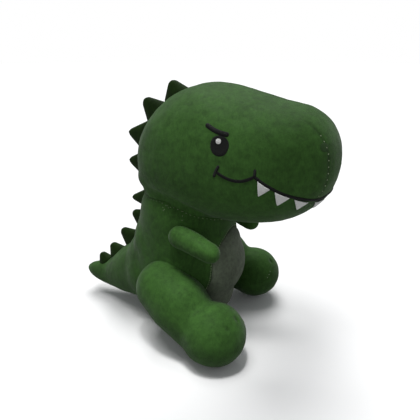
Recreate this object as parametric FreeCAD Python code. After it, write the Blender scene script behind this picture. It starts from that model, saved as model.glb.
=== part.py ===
import FreeCAD, Part
import functools
import math
import os

# A seated plush dinosaur. Millimetres. It faces -Y, its own left side is +X, and Z is up.
# The origin lies on the flat seat, in the middle plane. Each sewn panel, each wad of stuffing
# and each appliqued or embroidered piece is a separate solid.

Vector = FreeCAD.Vector
X_AXIS = Vector(1, 0, 0)
Y_AXIS = Vector(0, 1, 0)
Z_AXIS = Vector(0, 0, 1)
FAR = 400.0  # reach of a cutting block, larger than the toy

# Fabric, felt and clearances
FABRIC = 1.4  # thickness of the short-pile fabric
STUFFING_GAP = 0.3  # the stuffing stands this far inside its fabric
JOINT_GAP = 0.6  # between pieces that move past each other
STITCH_RISE = 0.8  # height of embroidery above the fabric
GLINT_RISE = 0.5  # height of the glint above the eye
TOOTH_FELT = 1.2
SECTION_POINTS = 16  # points that shape one rounded section

# Head: stations along Y, each (y, lowest z, highest z, share of the half width)
HEAD_HALF_WIDTH = 59.0
HEAD_BACK = (50.0, 176.0)
HEAD_FRONT = (-143.0, 185.0)
HEAD_STATIONS = (
    (44.0, 151.0, 200.0, 0.41),
    (32.0, 140.0, 218.0, 0.68),
    (14.0, 132.0, 235.0, 0.86),
    (-10.0, 127.0, 246.0, 0.97),
    (-40.0, 124.0, 248.5, 1.0),
    (-72.0, 125.0, 241.0, 0.95),
    (-100.0, 131.0, 234.0, 0.85),
    (-120.0, 142.0, 228.0, 0.71),
    (-134.0, 156.0, 216.0, 0.53),
    (-140.5, 170.0, 202.0, 0.29),
)
HEAD_SQUARENESS = 2.2
MUZZLE_HALF_WIDTH = 26.0
MUZZLE_BACK_Y = -112.0

# Neck: a ball shape at the top of the body, on which the head turns and nods
NECK_CENTRE = Vector(0, 2.5, 120.0)
NECK_RADIUS = 50.0
NECK_LATITUDES = (0.0, 7.0, 14.0, 22.0, 30.0, 38.0, 46.0)

# Body: stations along Z, each (z, front y, back y, share of the half width)
BODY_HALF_WIDTH = 55.0
BODY_STATIONS = (
    (0.0, -24.0, 46.0, 0.69),
    (5.0, -31.0, 53.0, 0.84),
    (15.0, -41.0, 58.0, 0.95),
    (32.0, -49.0, 60.0, 1.0),
    (55.0, -54.0, 60.0, 0.98),
    (80.0, -57.0, 58.0, 0.93),
    (98.0, -53.0, 54.5, 0.91),
    (111.0, -47.5, 52.0, 0.9),
)
BODY_SQUARENESS = 2.1
SEAT_SEAM_HEIGHT = 5.0

# Limbs: a root ball and an end ball joined by a hollow-sided waist
LEG_ROOT = Vector(BODY_HALF_WIDTH - 6.0, -6.0, 52.0)
LEG_ROOT_RADIUS = 36.5
LEG_END_RADIUS = 30.0
LEG_END = Vector(LEG_ROOT.x + 14.5, -52.0, LEG_END_RADIUS)  # the foot rests on the floor
LEG_WAIST_RADIUS = 26.0
LEG_INNER_X = BODY_HALF_WIDTH - 11.0

ARM_ROOT = Vector(BODY_HALF_WIDTH - 4.0, -12.0, 113.0)
ARM_ROOT_RADIUS = 12.5
ARM_END_RADIUS = 10.5
ARM_END = ARM_ROOT + Vector(6.5, -34.0, -10.0)
ARM_WAIST_RADIUS = 90.0
ARM_INNER_X = BODY_HALF_WIDTH - 9.5

TAIL_ROOT = Vector(0, 58, 42)
TAIL_ROOT_RADIUS = 33.0
TAIL_END = Vector(0, 136, 28)
TAIL_END_RADIUS = 4.5
TAIL_WAIST_RADIUS = 260.0

# A limb turns in a round pocket of the body, a little wider than its root ball. The limb's
# inner face stays flat for a little further out than its pocket.
LEG_POCKET_MARGIN = 2.8
LEG_TRIM = 4.5
ARM_POCKET_MARGIN = 5.0
ARM_TRIM = 60.0  # past the hand, so the whole arm keeps clear of the body

# Belly panel: an oval seen from the front
BELLY_CENTRE_Z = 62.0
BELLY_HALF_WIDTH = 38.0
BELLY_HALF_HEIGHT = 48.0

# Pellet pouch in the seat
POUCH_CENTRE = Vector(0, 2, 25)
POUCH_HALF_LENGTH = 21.0
POUCH_HALF_HEIGHT = 16.0
POUCH_SQUARENESS = 3.0
POUCH_END_SHARE = 0.7  # width of its flat ends, as a share of its middle
POUCH_CLOTH = 0.8

# Spikes: each has a base length, a height and a lean in degrees above the +Y direction
SPIKE_HALF_THICKNESS = 6.0
SPIKE_ROOT = 5.0  # depth of the base below the surface, before it is trimmed
SPIKE_PROFILE = ((0.0, 1.0, 1.0), (0.55, 0.5, 0.72), (0.9, 0.2, 0.36))  # shares of height, base, thickness
HEAD_SPIKE_CENTRE = (-5.0, 180.0)  # y, z that the head's spikes fan out from
HEAD_SPIKES = ((74.0, 25.0, 13.0), (45.0, 26.0, 19.0), (16.0, 25.0, 21.0), (-12.0, 24.0, 21.0))
BACK_SPIKES = ((130.5, 20.0, 20.0, 2.0), (108.5, 19.0, 18.0, 6.0), (88.0, 18.0, 19.0, 24.0))
TAIL_SPIKES = ((0.38, 17.0, 14.0), (0.64, 14.0, 12.0))
TAIL_SPIKE_LEAN = 58.0

# Face, in the side view (y, z), on a surface that curves away to the front
EYE_CENTRE = (-55.2, 204.6)
EYE_HALF_LENGTH = 8.0
EYE_HALF_HEIGHT = 8.8
GLINT_CENTRE = (-54.2, 208.2)
GLINT_RADIUS = 2.3
BROW_LINE = ((-41.5, 219.5), (-51.5, 215.4), (-61.5, 214.0))
BROW_WIDTH = 4.0
MOUTH_WIDTH = 2.2
CHEEK_TICK = ((-56.0, 188.5), (-53.5, 183.5), (-51.5, 178.0))
SMILE_LINE = ((-53.8, 182.5), (-70.0, 176.3), (-85.0, 181.5))
SMILE_TICK = ((-85.0, 181.5), (-85.4, 184.6), (-85.2, 187.6))
LIP_LINE = ((-85.0, 181.5), (-104.0, 168.8), (-128.5, 159.5))
LIP_FRONT_Z = 158.8
SIDE_TEETH = (
    ((-87.6, 177.6), (-97.2, 171.0), (-88.2, 164.6)),
    ((-101.0, 169.0), (-112.0, 163.9), (-102.6, 156.8)),
    ((-115.4, 162.0), (-125.0, 158.2), (-116.4, 151.4)),
)
FRONT_TOOTH = ((24.5, 156.8), (12.5, 157.0), (18.0, 149.5))  # x, z in the front view
NOSTRIL_CENTRE = (25.0, 205.0)  # x, z in the front view
NOSTRIL_HALF_WIDTH = 4.0
NOSTRIL_HALF_HEIGHT = 3.8


def block(low, high):
    """Return a box between two corners."""
    return Part.makeBox(high.x - low.x, high.y - low.y, high.z - low.z, low)


def half_space(side):
    """Return a block that fills the left (1) or right (-1) half of space."""
    low_x = 0.0 if side > 0 else -FAR
    return block(Vector(low_x, -FAR, -FAR), Vector(low_x + FAR, FAR, FAR))


def mirrored(point, side):
    """Return a left-side point on the left (1) or right (-1) side."""
    return Vector(point.x * side, point.y, point.z)


def side_name(side):
    """Return the name of the toy's own left (1) or right (-1) side."""
    return "left" if side > 0 else "right"


def ball(radius, centre, seam_heading):
    """Return a ball with its poles at the sides and its seam line facing seam_heading."""
    turn = FreeCAD.Rotation(seam_heading, X_AXIS.cross(seam_heading), X_AXIS, "ZXY")
    solid = Part.makeSphere(radius)
    solid.Placement = FreeCAD.Placement(centre, turn)
    return solid


def disc(radius, inner_x, centre, side):
    """Return a round block about a sideways axis, from inner_x outwards."""
    start = Vector(inner_x * side, centre.y, centre.z)
    return Part.makeCylinder(radius, FAR, start, X_AXIS * side)


def rounded_section(centre, across, half_across, upward, half_up, squareness):
    """Return a closed smooth section in two halves, an ellipse that is a little square."""
    points = []
    for step in range(SECTION_POINTS):
        angle = 2 * math.pi * (step / SECTION_POINTS + 0.25)
        cosine = math.cos(angle)
        sine = math.sin(angle)
        along = math.copysign(abs(cosine) ** (2 / squareness), cosine) * half_across
        rise = math.copysign(abs(sine) ** (2 / squareness), sine) * half_up
        points.append(centre + across * along + upward * rise)
    curve = Part.BSplineCurve()
    curve.interpolate(points, PeriodicFlag=True)
    start = curve.FirstParameter
    halfway = curve.parameter(points[SECTION_POINTS // 2])
    return Part.Wire([curve.toShape(start, halfway), curve.toShape(halfway, curve.LastParameter)])


@functools.lru_cache(maxsize=None)
def head_form(rise=0.0):
    """Return the head as one solid, with its surface moved out by rise."""
    length = HEAD_BACK[0] - HEAD_FRONT[0]
    middle = (HEAD_BACK[0] + HEAD_FRONT[0]) / 2
    stretch = (length + 2 * rise) / length
    sections = [Part.Vertex(0, middle + (HEAD_BACK[0] - middle) * stretch, HEAD_BACK[1])]
    for y, low, high, share in HEAD_STATIONS:
        centre = Vector(0, middle + (y - middle) * stretch, (low + high) / 2)
        half_width = HEAD_HALF_WIDTH * share + rise
        half_height = (high - low) / 2 + rise
        sections.append(rounded_section(centre, X_AXIS, half_width, Z_AXIS, half_height, HEAD_SQUARENESS))
    sections.append(Part.Vertex(0, middle + (HEAD_FRONT[0] - middle) * stretch, HEAD_FRONT[1]))
    return Part.makeLoft(sections, True, False)


def limb_form(root, root_radius, end, end_radius, waist_radius, rise=0.0):
    """Return two balls joined by a concave waist, as one turned solid moved out by rise."""
    big = root_radius + rise
    small = end_radius + rise
    waist = waist_radius - rise
    span = (end - root).Length
    waist_s = (span ** 2 + (big + waist) ** 2 - (small + waist) ** 2) / (2 * span)
    waist_r = math.sqrt((big + waist) ** 2 - waist_s ** 2)
    waist_centre = Vector(waist_s, waist_r, 0)
    end_centre = Vector(span, 0, 0)
    leave = waist_centre * (big / (big + waist))
    arrive = end_centre + (waist_centre - end_centre) * (small / (small + waist))
    dip = (leave + arrive) / 2 - waist_centre
    deepest = waist_centre + dip.normalize() * waist
    root_turn = (math.pi + math.atan2(leave.y, leave.x)) / 2
    root_side = Vector(math.cos(root_turn), math.sin(root_turn), 0) * big
    tip_turn = math.atan2(arrive.y, arrive.x - span) / 2
    tip_side = end_centre + Vector(math.cos(tip_turn), math.sin(tip_turn), 0) * small
    tip = end_centre + X_AXIS * small
    outline = Part.Wire([
        Part.Arc(Vector(-big, 0, 0), root_side, leave).toShape(),
        Part.Arc(leave, deepest, arrive).toShape(),
        Part.Arc(arrive, tip_side, tip).toShape(),
        Part.LineSegment(tip, Vector(-big, 0, 0)).toShape(),
    ])
    solid = Part.Face(outline).revolve(Vector(0, 0, 0), X_AXIS, 360)
    solid.Placement = FreeCAD.Placement(root, FreeCAD.Rotation(X_AXIS, end - root))
    return solid


def flat_inside(form, root, trim_radius, inner_x, side):
    """Return a limb cut flat on its inner side, within trim_radius of its root."""
    middle_side = disc(trim_radius, -inner_x, root, side)
    return form.cut(middle_side.cut(disc(trim_radius, inner_x, root, side)))


def leg_form(side, rise=0.0):
    """Return one leg as one solid, moved out by rise."""
    root = mirrored(LEG_ROOT, side)
    end = mirrored(LEG_END, side)
    form = limb_form(root, LEG_ROOT_RADIUS, end, LEG_END_RADIUS, LEG_WAIST_RADIUS, rise)
    trim_radius = LEG_ROOT_RADIUS + JOINT_GAP + LEG_TRIM - rise
    return flat_inside(form, LEG_ROOT, trim_radius, LEG_INNER_X - rise, side)


def arm_form(side, rise=0.0):
    """Return one arm as one solid, moved out by rise."""
    root = mirrored(ARM_ROOT, side)
    end = mirrored(ARM_END, side)
    form = limb_form(root, ARM_ROOT_RADIUS, end, ARM_END_RADIUS, ARM_WAIST_RADIUS, rise)
    trim_radius = ARM_ROOT_RADIUS + JOINT_GAP + ARM_TRIM - rise
    return flat_inside(form, ARM_ROOT, trim_radius, ARM_INNER_X - rise, side)


def tail_form(rise=0.0):
    """Return the tail as one solid, moved out by rise."""
    return limb_form(TAIL_ROOT, TAIL_ROOT_RADIUS, TAIL_END, TAIL_END_RADIUS, TAIL_WAIST_RADIUS, rise)


def body_form(rise=0.0):
    """Return the body up to the neck opening, dented where the limbs turn, moved out by rise."""
    sections = []
    for z, front, back, share in BODY_STATIONS:
        centre = Vector(0, (front + back) / 2, z if z > 0 else -rise)
        half_width = BODY_HALF_WIDTH * share + rise
        half_depth = (back - front) / 2 + rise
        sections.append(rounded_section(centre, X_AXIS, half_width, Y_AXIS, half_depth, BODY_SQUARENESS))
    for latitude in NECK_LATITUDES:
        angle = math.radians(latitude)
        radius = (NECK_RADIUS + rise) * math.cos(angle)
        centre = NECK_CENTRE + Z_AXIS * NECK_RADIUS * math.sin(angle)
        sections.append(rounded_section(centre, X_AXIS, radius, Y_AXIS, radius, 2.0))
    form = Part.makeLoft(sections, True, False)
    room = JOINT_GAP - rise
    for side in (1, -1):
        leg_pocket = LEG_ROOT_RADIUS + LEG_POCKET_MARGIN + room
        arm_pocket = ARM_ROOT_RADIUS + ARM_POCKET_MARGIN + room
        form = form.cut(disc(leg_pocket, LEG_INNER_X - room, LEG_ROOT, side))
        form = form.cut(disc(arm_pocket, ARM_INNER_X - room, ARM_ROOT, side))
    return form.cut(ball(TAIL_ROOT_RADIUS + room, TAIL_ROOT, Y_AXIS))


def neck_top():
    """Return the height of the neck opening."""
    return NECK_CENTRE.z + NECK_RADIUS * math.sin(math.radians(NECK_LATITUDES[-1]))


def outer_side(root, end, side):
    """Return a block on the outer side of a limb's lengthwise seam."""
    start = mirrored(root, side)
    along = mirrored(end, side) - start
    along.z = 0
    along.normalize()
    outward = Vector(-along.y, along.x, 0) if side > 0 else Vector(along.y, -along.x, 0)
    near_end = start - along * FAR - Z_AXIS * FAR
    far_end = start + along * FAR - Z_AXIS * FAR
    floor = Part.makePolygon(
        [near_end, far_end, far_end + outward * FAR, near_end + outward * FAR, near_end]
    )
    return Part.Face(floor).extrude(Z_AXIS * 2 * FAR)


def limb_pieces(form, root, end, side, name):
    """Return the two panels and the stuffing of a leg or arm, by name."""
    skin = form(side).cut(form(side, -FABRIC))
    outside = outer_side(root, end, side)
    suffix = "_" + side_name(side)
    return {
        name + "_outer_panel" + suffix: skin.common(outside),
        name + "_inner_panel" + suffix: skin.cut(outside),
        name + "_stuffing" + suffix: form(side, -FABRIC - STUFFING_GAP),
    }


def surface_point(form, start, heading):
    """Return the point where a line from inside a form leaves it."""
    inside = Part.makeLine(start, start + heading * FAR).common(form)
    return max((vertex.Point for vertex in inside.Vertexes), key=lambda point: (point - start).Length)


def spike(form, start, heading, base_length, height):
    """Return a blunt stuffed spike on a form, where a line from start leaves it."""
    seat = surface_point(form, start, heading)
    along = X_AXIS.cross(heading)
    levels = [(-SPIKE_ROOT, 1.0, 1.0)]
    levels += [(share * height, length, thickness) for share, length, thickness in SPIKE_PROFILE]
    sections = []
    for level, length_share, thickness_share in levels:
        half_length = base_length / 2 * length_share
        half_thickness = SPIKE_HALF_THICKNESS * thickness_share
        centre = seat + heading * level
        sections.append(rounded_section(centre, along, half_length, X_AXIS, half_thickness, 2.0))
    sections.append(Part.Vertex(seat + heading * height))
    return Part.makeLoft(sections, True, False).cut(form)


def heading_at(degrees):
    """Return the direction in the middle plane that rises by degrees above +Y."""
    angle = math.radians(degrees)
    return Vector(0, math.cos(angle), math.sin(angle))


def neck_seat():
    """Return the ball-shaped room that the head leaves for the neck and the body's collar."""
    return ball(NECK_RADIUS + JOINT_GAP, NECK_CENTRE, -Z_AXIS)


def head_spikes():
    """Return the spikes from the crown to the nape, clear of the neck, by name."""
    form = head_form()
    start = Vector(0, *HEAD_SPIKE_CENTRE)
    return {
        f"spike_{number}": spike(form, start, heading_at(degrees), base_length, height).cut(neck_seat())
        for number, (degrees, base_length, height) in enumerate(HEAD_SPIKES, 1)
    }


def back_spikes():
    """Return the spikes down the back, by name."""
    form = body_form()
    pieces = {}
    for number, (z, base_length, height, lean) in enumerate(BACK_SPIKES, len(HEAD_SPIKES) + 1):
        heading = heading_at(lean)
        seat = surface_point(form, Vector(0, 0, z), Y_AXIS)
        start = seat - heading * SPIKE_ROOT
        pieces[f"spike_{number}"] = spike(form, start, heading, base_length, height)
    return pieces


def tail_spikes():
    """Return the spikes on the tail, by name."""
    form = tail_form()
    heading = heading_at(TAIL_SPIKE_LEAN)
    first = len(HEAD_SPIKES) + len(BACK_SPIKES) + 1
    pieces = {}
    for number, (share, base_length, height) in enumerate(TAIL_SPIKES, first):
        start = TAIL_ROOT + (TAIL_END - TAIL_ROOT) * share
        pieces[f"spike_{number}"] = spike(form, start, heading, base_length, height)
    return pieces


def side_point(point):
    """Return a (y, z) point of the side view in the middle plane."""
    return Vector(0, point[0], point[1])


@functools.lru_cache(maxsize=None)
def head_layer(low, high):
    """Return the layer between two heights over the head's surface."""
    return head_form(high).cut(head_form(low))


def raised(prism, low, high):
    """Return the part of a prism that lies between two heights over the head's surface."""
    return prism.common(head_layer(low, high))


def side_prism(outline, side):
    """Return the prism of a side-view outline, through one side of the head."""
    return Part.Face(outline).extrude(X_AXIS * side * FAR)


def oval(centre, half_length, half_height):
    """Return an oval outline in the side view."""
    return rounded_section(side_point(centre), Y_AXIS, half_length, Z_AXIS, half_height, 2.0)


def stroke(points, width):
    """Return the outline of a round-ended stroke along an arc through three points."""
    path = Part.Wire(Part.Arc(*[side_point(point) for point in points]).toShape())
    return path.makeOffset2D(width / 2)


def eye_pieces(side):
    """Return one eye, its glint and its brow, by name."""
    suffix = "_" + side_name(side)
    eye = side_prism(oval(EYE_CENTRE, EYE_HALF_LENGTH, EYE_HALF_HEIGHT), side)
    glint = side_prism(oval(GLINT_CENTRE, GLINT_RADIUS, GLINT_RADIUS), side)
    brow = side_prism(stroke(BROW_LINE, BROW_WIDTH), side).cut(eye)
    return {
        "eye" + suffix: raised(eye, 0, STITCH_RISE),
        "eye_glint" + suffix: raised(glint, STITCH_RISE, STITCH_RISE + GLINT_RISE),
        "brow" + suffix: raised(brow, 0, STITCH_RISE),
    }


@functools.lru_cache(maxsize=None)
def mouth_line(side):
    """Return one half of the embroidered mouth line."""
    strokes = [side_prism(stroke(line, MOUTH_WIDTH), side)
               for line in (CHEEK_TICK, SMILE_LINE, SMILE_TICK, LIP_LINE)]
    front_high = LIP_FRONT_Z + MOUTH_WIDTH / 2
    front_low = LIP_FRONT_Z - MOUTH_WIDTH / 2
    low_x, high_x = sorted((0.0, MUZZLE_HALF_WIDTH * side))
    strokes.append(block(Vector(low_x, -FAR, front_low), Vector(high_x, MUZZLE_BACK_Y, front_high)))
    return raised(strokes[0].fuse(strokes[1:]), 0, STITCH_RISE)


def tooth_outline(points):
    """Return a felt tooth's outline: two straight flanks and a straight root."""
    return Part.makePolygon(list(points) + [points[0]])


def teeth(side):
    """Return the felt teeth of one side, by name, from the mouth corner to the front."""
    pieces = {}
    line = mouth_line(side)
    for number, corners in enumerate(SIDE_TEETH, 1):
        prism = side_prism(tooth_outline([side_point(corner) for corner in corners]), side)
        pieces[f"tooth_{number}_{side_name(side)}"] = raised(prism, 0, TOOTH_FELT).cut(line)
    corners = [Vector(x * side, 0, z) for x, z in FRONT_TOOTH]
    prism = Part.Face(tooth_outline(corners)).extrude(-Y_AXIS * FAR)
    number = len(SIDE_TEETH) + 1
    pieces[f"tooth_{number}_{side_name(side)}"] = raised(prism, 0, TOOTH_FELT).cut(line)
    return pieces


def nostril(side):
    """Return one dark nostril patch."""
    centre = Vector(NOSTRIL_CENTRE[0] * side, 0, NOSTRIL_CENTRE[1])
    outline = rounded_section(centre, X_AXIS, NOSTRIL_HALF_WIDTH, Z_AXIS, NOSTRIL_HALF_HEIGHT, 2.0)
    return raised(Part.Face(outline).extrude(-Y_AXIS * FAR), 0, STITCH_RISE)


def head_pieces():
    """Return the head's panels, stuffing, face and spikes, by name."""
    seat = neck_seat()
    skin = head_form().cut(head_form(-FABRIC)).cut(seat)
    muzzle = block(
        Vector(-MUZZLE_HALF_WIDTH, -FAR, -FAR), Vector(MUZZLE_HALF_WIDTH, MUZZLE_BACK_Y, FAR)
    )
    pieces = {
        "muzzle_panel": skin.common(muzzle),
        "head_stuffing": head_form(-FABRIC - STUFFING_GAP).cut(seat),
    }
    sides = skin.cut(muzzle)
    for side in (1, -1):
        name = side_name(side)
        pieces["head_panel_" + name] = sides.common(half_space(side))
        pieces["mouth_line_" + name] = mouth_line(side)
        pieces["nostril_" + name] = nostril(side)
        pieces.update(eye_pieces(side))
        pieces.update(teeth(side))
    pieces.update(head_spikes())
    return pieces


def pouch_form(rise=0.0):
    """Return the pellet pouch as one solid, moved out by rise."""
    half_height = POUCH_HALF_HEIGHT + rise
    sections = []
    for level, share in ((-half_height, POUCH_END_SHARE), (0.0, 1.0), (half_height, POUCH_END_SHARE)):
        centre = POUCH_CENTRE + Z_AXIS * level
        reach = (POUCH_HALF_LENGTH + rise) * share
        sections.append(rounded_section(centre, X_AXIS, reach, Y_AXIS, reach, POUCH_SQUARENESS))
    return Part.makeLoft(sections, True, False)


def body_pieces():
    """Return the body's panels, stuffing, pouch and spikes, by name."""
    skin = body_form().cut(body_form(-FABRIC))
    seat = block(Vector(-FAR, -FAR, -FAR), Vector(FAR, FAR, SEAT_SEAM_HEIGHT))
    belly_outline = rounded_section(
        Z_AXIS * BELLY_CENTRE_Z, X_AXIS, BELLY_HALF_WIDTH, Z_AXIS, BELLY_HALF_HEIGHT, 2.0
    )
    belly = Part.Face(belly_outline).extrude(-Y_AXIS * FAR)
    sides = skin.cut(seat).cut(belly)
    return {
        "seat_panel": skin.common(seat),
        "belly_panel": skin.common(belly).cut(seat),
        "body_panel_left": sides.common(half_space(1)),
        "body_panel_right": sides.common(half_space(-1)),
        "body_stuffing": body_form(-FABRIC - STUFFING_GAP).cut(pouch_form(STUFFING_GAP)),
        "pellet_pouch": pouch_form().cut(pouch_form(-POUCH_CLOTH)),
        "pellets": pouch_form(-POUCH_CLOTH - STUFFING_GAP),
        **back_spikes(),
    }


def neck_stuffing():
    """Return the round wad of stuffing that turns in the neck opening."""
    above = block(Vector(-FAR, -FAR, neck_top() + STUFFING_GAP), Vector(FAR, FAR, FAR))
    return ball(NECK_RADIUS, NECK_CENTRE, -Z_AXIS).common(above)


def tail_pieces():
    """Return the tail's panels, stuffing and spikes, by name."""
    skin = tail_form().cut(tail_form(-FABRIC))
    return {
        "tail_panel_left": skin.common(half_space(1)),
        "tail_panel_right": skin.common(half_space(-1)),
        "tail_stuffing": tail_form(-FABRIC - STUFFING_GAP),
        **tail_spikes(),
    }


def main():
    """Build every piece and write it to its own file."""
    os.makedirs("parts", exist_ok=True)
    pieces = {"neck_stuffing": neck_stuffing()}
    pieces.update(body_pieces())
    pieces.update(head_pieces())
    pieces.update(tail_pieces())
    for side in (1, -1):
        pieces.update(limb_pieces(leg_form, LEG_ROOT, LEG_END, side, "leg"))
        pieces.update(limb_pieces(arm_form, ARM_ROOT, ARM_END, side, "arm"))
    for name, shape in pieces.items():
        print(f"{name}: {len(shape.Solids)} solid(s), {shape.Volume / 1000:.2f} cm3, valid {shape.isValid()}")
        shape.exportStep(os.path.join("parts", name + ".step"))


if __name__ == "__main__":
    main()
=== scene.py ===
"""A seated plush dinosaur: stuffed velour skins, felt teeth, embroidered face and hand stitching."""

import logging
import math
from collections.abc import Callable, Sequence
from dataclasses import dataclass, field
from enum import Enum

import bmesh
import bpy
from mathutils import Matrix, Vector, noise
from mathutils.bvhtree import BVHTree
from mathutils.kdtree import KDTree


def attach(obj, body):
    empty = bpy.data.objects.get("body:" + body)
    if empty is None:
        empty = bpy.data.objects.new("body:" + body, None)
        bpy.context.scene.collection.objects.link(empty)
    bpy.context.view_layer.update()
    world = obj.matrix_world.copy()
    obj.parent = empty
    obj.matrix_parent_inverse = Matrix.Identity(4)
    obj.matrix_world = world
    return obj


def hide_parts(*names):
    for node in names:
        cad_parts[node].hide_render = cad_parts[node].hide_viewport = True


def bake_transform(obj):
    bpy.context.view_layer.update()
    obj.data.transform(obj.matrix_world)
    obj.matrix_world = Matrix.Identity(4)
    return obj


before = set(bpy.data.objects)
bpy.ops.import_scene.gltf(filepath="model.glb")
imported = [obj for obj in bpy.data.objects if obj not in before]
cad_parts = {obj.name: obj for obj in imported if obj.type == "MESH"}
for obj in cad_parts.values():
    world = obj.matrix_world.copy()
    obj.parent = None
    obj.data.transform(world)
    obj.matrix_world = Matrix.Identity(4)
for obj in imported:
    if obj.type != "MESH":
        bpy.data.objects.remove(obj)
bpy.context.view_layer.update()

LOG = logging.getLogger("plush")
MM = 0.001
X_AXIS = Vector((1, 0, 0))
Y_AXIS = Vector((0, 1, 0))
Z_AXIS = Vector((0, 0, 1))
FAR = 1.0  # start of a sight line, well outside the toy
TINY = 1e-6  # below this a step or a radius counts as nothing
SPIKE_REACH = 20 * MM  # depth below its base from which a spike's axis is followed outwards


def at(x: float, y: float, z: float) -> Vector:
    """Return the point with these coordinates, given in millimetres."""
    return Vector((x, y, z)) * MM


class Side(Enum):
    """The toy's own left or right side. Its value is the sign of X."""

    LEFT = 1
    RIGHT = -1

    @property
    def label(self) -> str:
        """Return the side's name in lower case."""
        return self.name.lower()

    def point(self, x: float, y: float, z: float) -> Vector:
        """Return a point on this side, from the left side's coordinates in millimetres."""
        return at(x * self.value, y, z)

    def heading(self, x: float, y: float, z: float) -> Vector:
        """Return a unit direction on this side, from the left side's direction."""
        return Vector((x * self.value, y, z)).normalized()


class Slot(Enum):
    """The names of the toy's material slots, one given with each new piece."""

    PILE = "green_pile"
    BELLY = "belly_fabric"
    SPIKE = "spike_fabric"
    FELT = "tooth_felt"
    BLACK = "black_thread"
    PALE = "pale_thread"


class Stitch(Enum):
    """How a row of stitches is sewn. Its value is how far each one leans, in degrees."""

    RUNNING = 0.0
    ZIGZAG = 38.0


# ---------------------------------------------------------------------------------------------
# Shader values


class Value:
    """A shader socket that works in Python expressions."""

    def __init__(self, shader: "Shader", socket: bpy.types.NodeSocket) -> None:
        """Wrap one output socket of a material's node tree."""
        self.shader = shader
        self.socket = socket

    def _math(self, operation: str, *terms: "Value | float") -> "Value":
        """Return the result of one Math node on these terms."""
        inputs = dict(enumerate(terms))
        return self.shader.node("ShaderNodeMath", {"operation": operation}, inputs)

    def __add__(self, other: "Value | float") -> "Value":
        """Return self + other."""
        return self._math("ADD", self, other)

    def __sub__(self, other: "Value | float") -> "Value":
        """Return self - other."""
        return self._math("SUBTRACT", self, other)

    def __rsub__(self, other: float) -> "Value":
        """Return other - self."""
        return self._math("SUBTRACT", other, self)

    def __mul__(self, other: "Value | float") -> "Value":
        """Return self * other."""
        return self._math("MULTIPLY", self, other)

    def __rmul__(self, other: float) -> "Value":
        """Return other * self."""
        return self._math("MULTIPLY", other, self)

    def clamped(self) -> "Value":
        """Return the value held between 0 and 1."""
        return self._math("MAXIMUM", self._math("MINIMUM", self, 1.0), 0.0)

    def wave(self) -> "Value":
        """Return the sine of the value, moved into 0 to 1."""
        return self._math("SINE", self) * 0.5 + 0.5

    def step(self, low: float, high: float) -> "Value":
        """Return 0 below low and 1 above high, with a straight rise between."""
        return ((self - low) * (1.0 / (high - low))).clamped()


Input = Value | float | tuple


class Shader:
    """The node tree of one material."""

    def __init__(self, name: str) -> None:
        """Start a material with one Principled shader.

        Args:
            name: the material's name.
        """
        self.material = bpy.data.materials.new(name)
        self.material.use_nodes = True
        self.tree = self.material.node_tree
        self.surface = self.tree.nodes["Principled BSDF"]

    def node(self, kind: str, settings: dict, inputs: dict, output: int | str = 0) -> Value:
        """Add one node.

        Args:
            kind: the node's type name.
            settings: its properties, set before its sockets.
            inputs: numbers, colours or values, by socket name or number.
            output: the socket to return.

        Returns:
            The chosen output.
        """
        made = self.tree.nodes.new(kind)
        for key, setting in settings.items():
            setattr(made, key, setting)
        for key, given in inputs.items():
            self.feed(made.inputs[key], given)
        return Value(self, made.outputs[output])

    def feed(self, socket: bpy.types.NodeSocket, given: Input) -> None:
        """Link a value to a socket, or set a constant on it."""
        if isinstance(given, Value):
            self.tree.links.new(given.socket, socket)
        else:
            socket.default_value = given

    def position(self) -> Value:
        """Return the place on the piece, in metres."""
        return self.node("ShaderNodeTexCoord", {}, {}, "Object")

    def attribute(self, name: str) -> Value:
        """Return a number that the mesh carries at each point."""
        return self.node("ShaderNodeAttribute", {"attribute_name": name}, {}, "Fac")

    def parts(self, place: Value, axes: str) -> list[Value]:
        """Return some coordinates of a place, each named by its letter."""
        return [self.node("ShaderNodeSeparateXYZ", {}, {"Vector": place}, axis) for axis in axes]

    def cloth_uv(self) -> list[Value]:
        """Return the two coordinates of the piece's own map."""
        return self.parts(self.node("ShaderNodeUVMap", {"uv_map": CLOTH_MAP}, {}, "UV"), "XY")

    def noise(self, place: Value, size: float, detail: float = 2.0, rough: float = 0.5) -> Value:
        """Return even noise of about 0 to 1, with spots of a size in metres and finer octaves."""
        inputs = {"Vector": place, "Scale": 1.0 / size, "Detail": detail, "Roughness": rough}
        return self.node("ShaderNodeTexNoise", {}, inputs, "Fac")

    def stretched(self, place: Value, scale: tuple, turn: tuple = (0.0, 0.0, 0.0)) -> Value:
        """Return the place with its axes turned and scaled."""
        inputs = {"Vector": place, "Rotation": turn, "Scale": scale}
        return self.node("ShaderNodeMapping", {}, inputs, "Vector")

    def blend(self, low: Input, high: Input, share: Input) -> Value:
        """Return a colour between two colours."""
        inputs = {0: share, 6: low, 7: high}
        return self.node("ShaderNodeMix", {"data_type": "RGBA"}, inputs, 2)

    def bump(self, height: Value, depth: float) -> Value:
        """Return the normal of a surface with this height, whose full rise is depth metres."""
        inputs = {"Strength": 1.0, "Distance": depth, "Height": height}
        return self.node("ShaderNodeBump", {}, inputs, "Normal")

    def finish(self, **inputs: Input) -> bpy.types.Material:
        """Set the shader's own sockets and return the material.

        Args:
            inputs: values by socket name, with _ for each space.

        Returns:
            The material.
        """
        for key, given in inputs.items():
            self.feed(self.surface.inputs[key.replace("_", " ")], given)
        return self.material


Colour = tuple[float, float, float, float]
CLOTH_MAP = "cloth"
# marks the pressed seam valleys, which the pile's finish darkens as painted shade
SEAM_MAP = "seam"


def colour(red: float, green: float, blue: float) -> Colour:
    """Return an opaque colour from its linear parts."""
    return (red, green, blue, 1.0)


def darker(base: Colour, share: float) -> Colour:
    """Return a colour with this share of its brightness."""
    return colour(base[0] * share, base[1] * share, base[2] * share)


# ---------------------------------------------------------------------------------------------
# Finishes


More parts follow.
